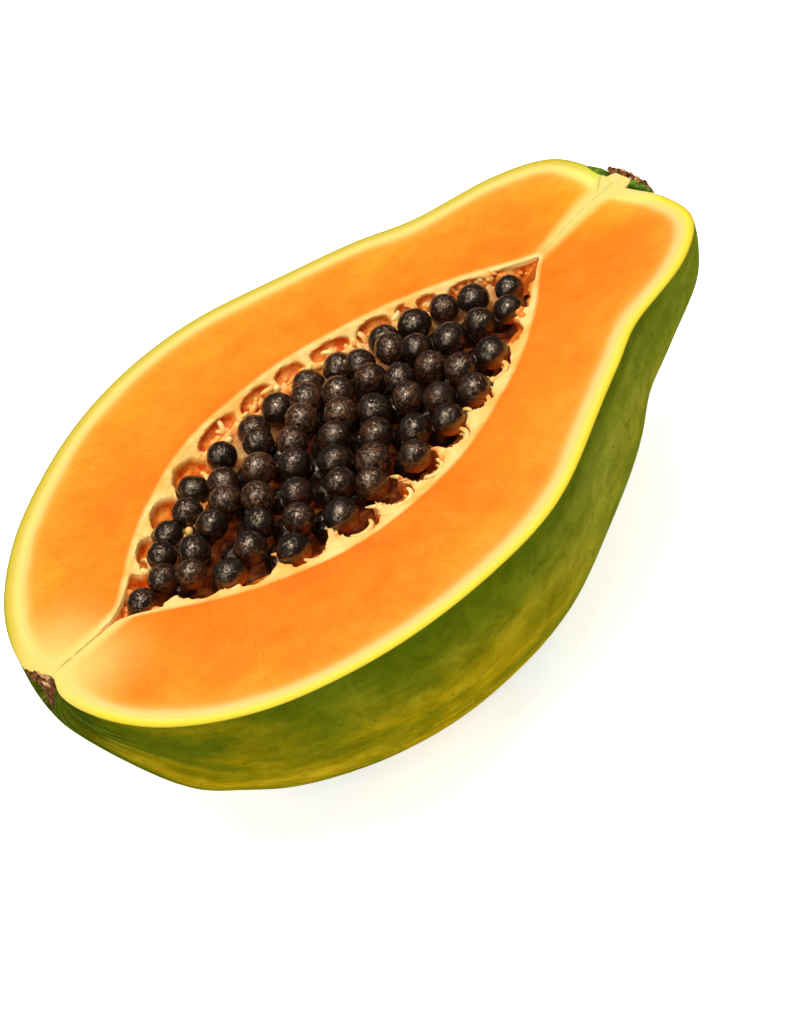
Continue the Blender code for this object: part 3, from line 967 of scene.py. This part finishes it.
def make_blossom_scar(finishes):
    """The corky scar where the flower fell off: crumbs and dry fibres lying on the skin."""
    chance = np.random.default_rng(8)
    parts = []
    for number_of in range(72):
        share, down = chance.uniform(0.0, 1.0), chance.uniform(0.0, 1.0)
        y = 4.0 - 7.4 * share - 1.0 * down
        z = -0.2 - (1.2 + 3.0 * share) * down
        size = chance.uniform(0.25, 0.5)
        fibre = number_of % 3 > 0
        shape = (0.16, size * 3.4, 0.17) if fibre else (0.26, size * 1.4, size * 0.8)
        item = lump("scar", (blossom_skin(y, z) - 0.10, y, z), shape, 3, 0.10 if fibre else 0.16,
                    0.45, 0.7 * number_of, sharp=True, top=0.2, slope=chance.uniform(0.2, 0.7))
        # Pale crumbs in the middle of the scar, near its top: partly the scar's pale cork, partly painted
        # highlights.
        pale = 0.35 < share < 0.75 and down < 0.65 and chance.uniform() < 0.6
        item.data.materials.append(finishes[1 if pale else 0])
        smooth(item)
        parts.append(item)
    return dress(join(parts, "blossom_scar_cork"), finishes, "blossom_scar")


# ---------------------------------------------------------------- finishes

def rind_finish():
    f = Finish("rind")
    along, around = f.number("along"), f.number("around")
    streaked = f.together(f.times(along, 8.0), f.times(around, 12.0))
    broad = f.together(f.times(along, 5.0), f.times(around, 2.6), 4.0)
    cloud = f.noise(broad, 1.0, 4.0, 0.55, 0.6)
    streak = f.noise(streaked, 1.0, 5.0, 0.62, 0.3)
    fine = f.noise(f.where(), 700.0, 3.0, 0.6)
    below = f.minus(math.pi, around)
    early = f.plus(f.times(cloud, 0.6), f.span(along, 0.28, 0.14, 0.0, 0.55))
    belly = f.span(f.plus(below, early), 0.40, 0.85)
    tone = f.span(f.plus(f.times(streak, 0.4), f.times(cloud, 0.6)), 0.25, 0.75)
    green = f.ramp(tone, ((0.0, (72, 86, 8)), (0.5, (92, 101, 12)), (1.0, (112, 119, 24))))
    neck = f.ramp(tone, ((0.0, (96, 108, 24)), (0.5, (116, 124, 32)), (1.0, (134, 139, 46))))
    ochre = f.ramp(tone, ((0.0, (122, 105, 5)), (0.5, (148, 126, 8)), (1.0, (174, 152, 28))))
    ends = f.span(along, 0.42, 0.62)
    green = f.mix(ends, green, neck)
    fewer = f.minus(1.0, f.times(ends, 0.75))
    patch = f.times(f.span(cloud, 0.32, 0.62), fewer)
    colour = f.mix(f.times(belly, patch), green, ochre)
    edge = f.span(f.plus(below, f.times(streak, 0.05)), 0.04, 0.17, 0.7, 0.0)
    edge = f.times(edge, f.times(f.span(along, 0.14, 0.3), f.span(along, 0.88, 0.76)))
    colour = f.paint(edge, colour, (74, 88, 8))
    tip = f.span(f.plus(along, f.times(streak, 0.04)), 0.05, 0.14, 0.85, 0.0)
    colour = f.mix(tip, colour, f.mix(f.span(streak, 0.45, 0.7), linear((36, 60, 4)), linear((104, 124, 44))))
    patchy = f.noise(f.where(), 190.0, 5.0, 0.68, 0.8)
    dulled = f.ramp(f.span(patchy, 0.32, 0.68), ((0.0, (216, 218, 205)), (1.0, (255, 253, 250))))
    colour = f.tint(1.0, colour, dulled)
    spots = f.plus(f.cells(f.where(), 300.0), f.times(fine, 0.12))
    colour = f.paint(f.span(spots, 0.12, 0.24, 0.5, 0.0), colour, (66, 68, 10))
    relief = f.plus(streak, f.times(fine, 0.25))
    return f.coat(colour, cloud, (0.42, 0.55), 0.0, (relief, 0.0002, 0.4))


def flesh_finish():
    f = Finish("flesh")
    depth, rim = f.number("skin_depth"), f.number("rim_distance")
    pit, off, round_loop = f.number("pit"), f.number("off_axis"), f.number("round_loop")
    wander = f.noise(f.where(), 60.0, 3.0, 0.5)
    uneven = f.times(f.span(depth, 1.0, 8.0), f.span(wander, 0.25, 0.75, -0.7, 0.7))
    deep = f.plus(depth, uneven)
    band = f.ramp(deep, (
        (0.0, (150, 148, 30)), (0.4, (214, 194, 44)), (1.1, (236, 210, 66)), (2.0, (240, 214, 102)),
        (3.0, (243, 213, 120)), (4.0, (240, 198, 108)), (4.8, (234, 171, 70)), (5.8, (233, 155, 46)),
        (8.0, (240, 149, 33)), (11.0, (239, 145, 31)), (15.0, (239, 139, 27)), (20.0, (239, 135, 25)),
        (30.0, (236, 128, 22))), 32.0)
    mottle = f.noise(f.where(), 150.0, 5.0, 0.62, 0.4)
    radial = f.together(f.times(round_loop, 420.0), f.times(depth, 0.22))
    fibre = f.noise(radial, 1.0, 3.0, 0.6)
    # Painted light and shade: by the skin, the band is painted lighter on the near side to offset the shade
    # at the rounded cut edge, and darker on the far side.
    near_side_painted_lighter = f.span(off, -5.0, 5.0, 1.0, 0.0)
    band = f.mix(f.span(depth, 1.4, 2.6, 1.0, 0.0), band,
                 f.tint(1.0, band, f.mix(near_side_painted_lighter, (0.80, 0.80, 1.0), (1.2, 1.15, 0.96))))
    inside = f.span(deep, 4.0, 8.0)
    tone = f.plus(f.times(mottle, 0.7), f.times(fibre, 0.3))
    region = f.noise(f.where(), 60.0, 4.0, 0.62, 0.8)
    tints = (
        (f.times(inside, f.span(tone, 0.42, 0.66, 0.0, 0.7)), (0.99, 0.80, 0.50)),
        (f.times(inside, f.span(tone, 0.50, 0.36, 0.0, 0.4)), (1.03, 1.18, 1.6)),
        (f.span(off, -12.0, 6.0, 1.0, 0.0), (1.0, 0.92, 1.0)),
        (f.times(inside, f.span(region, 0.46, 0.64, 0.0, 0.75)), (1.0, 0.86, 0.82)),
        (f.times(inside, f.span(region, 0.50, 0.36, 0.0, 0.6)), (1.0, 1.10, 1.2)))
    colour = band
    for share, tint in tints:
        colour = f.tint(share, colour, tint)
    short_fibre = f.together(f.times(round_loop, 900.0), f.times(depth, 0.55), 7.0)
    fleck = f.span(f.noise(short_fibre, 1.0, 2.0, 0.5), 0.60, 0.70, 0.0, 0.55)
    colour = f.paint(f.times(inside, fleck), colour, (216, 104, 22))
    x = f.node("ShaderNodeSeparateXYZ")
    f.feed(x.inputs[0], f.where())
    lengthwise = x.outputs["X"]
    off_size = f.sum("ABSOLUTE", off)
    pale = linear((234, 208, 116))
    blossom = f.span(f.plus(lengthwise, f.times(wander, 0.006)), -0.071, -0.053, 1.0, 0.0)
    blossom = f.times(blossom, f.span(off_size, 4.0, 20.0, 0.74, 0.0))
    colour = f.mix(blossom, colour, pale)
    by_line = f.span(off_size, 1.0, 3.6, 0.9, 0.0)
    by_line = f.times(by_line, f.span(lengthwise, -0.060, -0.050, 1.0, 0.0))
    colour = f.mix(by_line, colour, pale)
    band_half = f.plus(f.span(lengthwise, 0.053, 0.075, 0.4, 2.0), f.times(wander, 0.8))
    septum = f.times(f.span(f.minus(off_size, band_half), -1.2, 2.2, 1.0, 0.0),
                   f.span(lengthwise, 0.048, 0.058))
    colour = f.mix(septum, colour, pale)
    golden = f.times(f.span(lengthwise, 0.050, 0.072), f.span(off_size, 6.0, 18.0, 0.75, 0.0))
    golden = f.times(golden, f.minus(1.0, septum))
    colour = f.tint(golden, colour, (1.0, 1.28, 1.0))
    ring = f.span(f.plus(rim, f.times(wander, 0.9)), 0.7, 1.9, 1.0, 0.0)
    cream = f.mix(f.span(mottle, 0.35, 0.65), linear((250, 212, 132)), linear((244, 180, 86)))
    colour = f.mix(ring, colour, cream)
    clot = f.noise(f.where(), 330.0, 4.0, 0.6)
    lumpy = f.mix(f.span(clot, 0.40, 0.58), linear((226, 112, 30)), linear((246, 196, 126)))
    low_wall = f.plus(rim, f.times(wander, 2.0))
    colour = f.mix(f.span(low_wall, -4.2, -2.4, 0.85, 0.0), colour, lumpy)
    wet = f.mix(f.span(clot, 0.38, 0.64), linear((208, 84, 6)), linear((240, 152, 56)))
    wet = f.tint(f.span(off, -6.0, 2.0, 0.75, 0.0), wet, (1.0, 0.74, 0.5))
    colour = f.mix(f.span(pit, 0.08, 0.6), colour, wet)
    colour = f.paint(f.span(rim, -12.5, -9.0, 1.0, 0.0), colour, (196, 96, 22))
    fan = f.plus(f.number("fan"), f.times(wander, 0.25))
    colour = f.paint(f.span(fan, 1.0, 1.7, 0.95, 0.0), colour, (235, 212, 122))
    arc = f.times(f.span(f.sum("ABSOLUTE", f.minus(fan, 1.2)), 0.02, 0.12, 0.6, 0.0),
                f.span(off, 0.6, 1.6))
    colour = f.paint(arc, colour, (176, 176, 66))
    line = f.times(f.span(off_size, 0.1, 0.42, 1.0, 0.0), f.span(rim, 0.2, 1.0))
    dashes = f.span(f.noise(f.where(), 420.0, 2.0), 0.36, 0.56)
    line = f.times(line, f.times(dashes, f.span(lengthwise, -0.01, 0.01, 0.75, 0.32)))
    colour = f.paint(line, colour, (164, 140, 60))
    slit = f.times(f.span(off_size, 0.10, 0.36, 0.85, 0.0), f.span(lengthwise, -0.0675, -0.0645))
    colour = f.paint(f.times(slit, f.span(lengthwise, -0.060, -0.055, 1.0, 0.0)), colour,
                   (190, 96, 30))
    grain = f.noise(f.where(), 520.0, 4.0, 0.6)
    relief = f.plus(f.times(tone, 0.9), f.times(grain, 0.4))
    return f.coat(colour, grain, (0.36, 0.52), 0.14, (relief, 0.0003, 0.5))


def stalk_finish():
    f = Finish("cream_stalks")
    tint = f.number("tint")
    soft = f.noise(f.where(), 500.0, 3.0, 0.5)
    light = f.ramp(f.plus(f.times(soft, 0.6), f.times(tint, 0.4)),
                   ((0.2, (238, 142, 56)), (0.45, (246, 190, 100)), (0.7, (251, 224, 144))))
    return f.coat(light, soft, (0.3, 0.45), 0.3, (soft, 0.0002, 0.5))


def seed_finish():
    f = Finish("seed_coat")
    tint, painted_flesh_glow = f.number("tint"), f.number("painted_flesh_glow")
    crinkle = f.noise(f.where(), 1150.0, 2.0, 0.5, 0.5)
    broad = f.noise(f.where(), 260.0, 2.0, 0.5)
    dark = f.ramp(f.plus(f.times(crinkle, 0.75), f.times(tint, 0.25)),
                  ((0.25, (12, 9, 7)), (0.55, (34, 23, 16)), (0.8, (100, 62, 36))))
    colour = f.paint(f.span(broad, 0.55, 0.75, 0.0, 0.45), dark, (82, 40, 18))
    # Painted glow: the amber on the lower sides of the seeds by the near rim stands in for light from the
    # orange flesh.
    colour = f.paint(painted_flesh_glow, colour, (178, 84, 18))
    return f.coat(colour, crinkle, (0.09, 0.15), 1.0, (crinkle, 0.0002, 1.0), Specular_Tint=(1.0, 0.80, 0.60))


def grained_finish(name, texture, reach, shades, dull, gloss, relief, squeeze=(1.0, 1.0, 1.0)):
    """A finish of one noise: its texture, where its three shades lie on it, dullness, gloss and relief."""
    f = Finish(name)
    grain = f.noise(f.where(squeeze), *texture)
    colour = f.ramp(f.span(grain, *reach), tuple(zip((0.0, 0.5, 1.0), shades)))
    return f.coat(colour, grain, dull, gloss, (grain, *relief))


def bed_finish():
    return grained_finish("seed_pulp", (420.0, 4.0, 0.6), (0.3, 0.72),
                          ((84, 28, 6), (128, 52, 12), (190, 104, 40)), (0.25, 0.4), 0.12, (0.0006, 0.8))


def stub_pad_finish():
    return grained_finish("stub_flesh", (620.0, 3.0, 0.6), (0.35, 0.65),
                          ((224, 202, 104), (235, 212, 122), (240, 214, 136)), (0.4, 0.55), 0.15,
                          (0.0002, 0.5), squeeze=(0.3, 1.0, 1.0))


def crust_finish(name, *shades):
    return grained_finish(name, (900.0, 5.0, 0.65, 0.6), (0.3, 0.7), shades, (0.7, 0.9), 0.2, (0.0006, 0.9))


def shoulder_finish():
    return grained_finish("green_shoulder", (330.0, 3.0, 0.6), (0.3, 0.7),
                          ((36, 62, 4), (66, 104, 8), (120, 150, 36)), (0.45, 0.6), 0.2, (0.0003, 0.5))


def floor_finish():
    f = Finish("pale_floor")
    speck = f.noise(f.where(), 40.0, 2.0)
    f.shader.inputs["Emission Strength"].default_value = 0.66
    return f.wear(Base_Color=f.ramp(speck, ((0.0, (250, 250, 250)), (1.0, (253, 253, 253)))), Roughness=0.9,
                  Specular_IOR_Level=0.1, Emission_Color=(1.0, 1.0, 1.0))


# ---------------------------------------------------------------- stage, lights and camera

def make_floor():
    floor = added(bpy.ops.mesh.primitive_plane_add, "floor", size=6.0, location=(0.0, 0.0, -0.0002))
    settle(floor)
    floor.data.materials.append(floor_finish())


def make_lights():
    world = bpy.data.worlds.new("studio")
    bpy.context.scene.world = world
    world.use_nodes = True
    nodes = Nodes(world.node_tree)
    sky = nodes.tree.nodes["Background"]
    sky.inputs["Color"].default_value = (1.0, 1.0, 1.0, 1.0)
    upright = nodes.node("ShaderNodeSeparateXYZ")
    nodes.feed(upright.inputs[0], nodes.node("ShaderNodeTexCoord").outputs["Generated"])
    overhead = nodes.span(upright.outputs["Z"], 0.0, 1.0, HORIZON, SKY, smooth=False)
    ray = nodes.node("ShaderNodeLightPath")
    dimmed = nodes.span(ray.outputs["Is Glossy Ray"], 0.0, 1.0, 1.0, SKY_IN_GLOSS, smooth=False)
    strength = nodes.sum("MAXIMUM", nodes.times(overhead, dimmed), ray.outputs["Is Camera Ray"])
    nodes.feed(sky.inputs["Strength"], strength)
    lamps = [("softbox", LIGHTS_MIDDLE, 0.22, 1.9), ("fill", (-0.75, -0.35, 0.55), 0.5, 1.2)]
    for ring, count, power in ((0.26, 6, 0.26), (0.56, 8, 0.34)):
        for step in range(count):
            turn = 2.0 * math.pi * (step + ring) / count
            place = Vector(LIGHTS_MIDDLE) + Vector((ring * math.cos(turn), ring * math.sin(turn), 0.0))
            lamps.append(("panel", tuple(place), 0.06, power))
    for name, place, size, power in lamps:
        lamp = bpy.data.lights.new(name, "AREA")
        lamp.shape = "DISK"
        lamp.size = size
        lamp.energy = power
        if name == "panel":
            lamp.color = (1.0, 0.90, 0.78)
        body = bpy.data.objects.new(name, lamp)
        bpy.context.scene.collection.objects.link(body)
        body.location = place
        body.rotation_euler = (Vector((0.0, 0.0, 0.05)) - Vector(place)).to_track_quat("-Z", "Y").to_euler()


def make_camera():
    data = bpy.data.cameras.new("camera")
    data.lens = CAMERA_LENS
    data.sensor_width = 36.0
    data.clip_start = 0.01
    camera = bpy.data.objects.new("camera", data)
    bpy.context.scene.collection.objects.link(camera)
    turn, height, roll = (math.radians(angle) for angle in CAMERA_ANGLES)
    back = Vector((math.sin(turn) * math.cos(height), -math.cos(turn) * math.cos(height), math.sin(height)))
    right = (-back).cross(Vector((0.0, 0.0, 1.0))).normalized()
    up = back.cross(right)
    tilted = math.cos(roll) * right + math.sin(roll) * up
    upright = math.cos(roll) * up - math.sin(roll) * right
    camera.matrix_world = Matrix.Translation(Vector(CAMERA_PLACE) * MM + ORIGIN) @ Matrix(
        (tilted, upright, back)).transposed().to_4x4()
    bpy.context.scene.camera = camera


def main():
    middles, radii, top = settle_seeds()
    wall = make_fruit([rind_finish(), flesh_finish()], (middles, radii))
    make_stalks(wall, stalk_finish())
    make_seeds(seed_finish(), middles, radii, top)
    make_seed_bed(bed_finish())
    make_stem_stub([stub_pad_finish(),
                    crust_finish("stub_crust", (44, 24, 10), (92, 52, 22), (190, 130, 76)),
                    shoulder_finish(),
                    crust_finish("stub_crumbs", (160, 100, 60), (232, 186, 140), (250, 222, 180))])
    make_blossom_scar([crust_finish("scar_cork", (44, 24, 10), (96, 56, 24), (150, 96, 50)),
                       crust_finish("scar_crumbs_and_highlights", (140, 84, 44), (216, 164, 116), (244, 208, 168))])
    make_floor()
    make_lights()
    make_camera()
    bpy.context.scene.view_settings.view_transform = "Standard"


main()
bpy.context.view_layer.update()
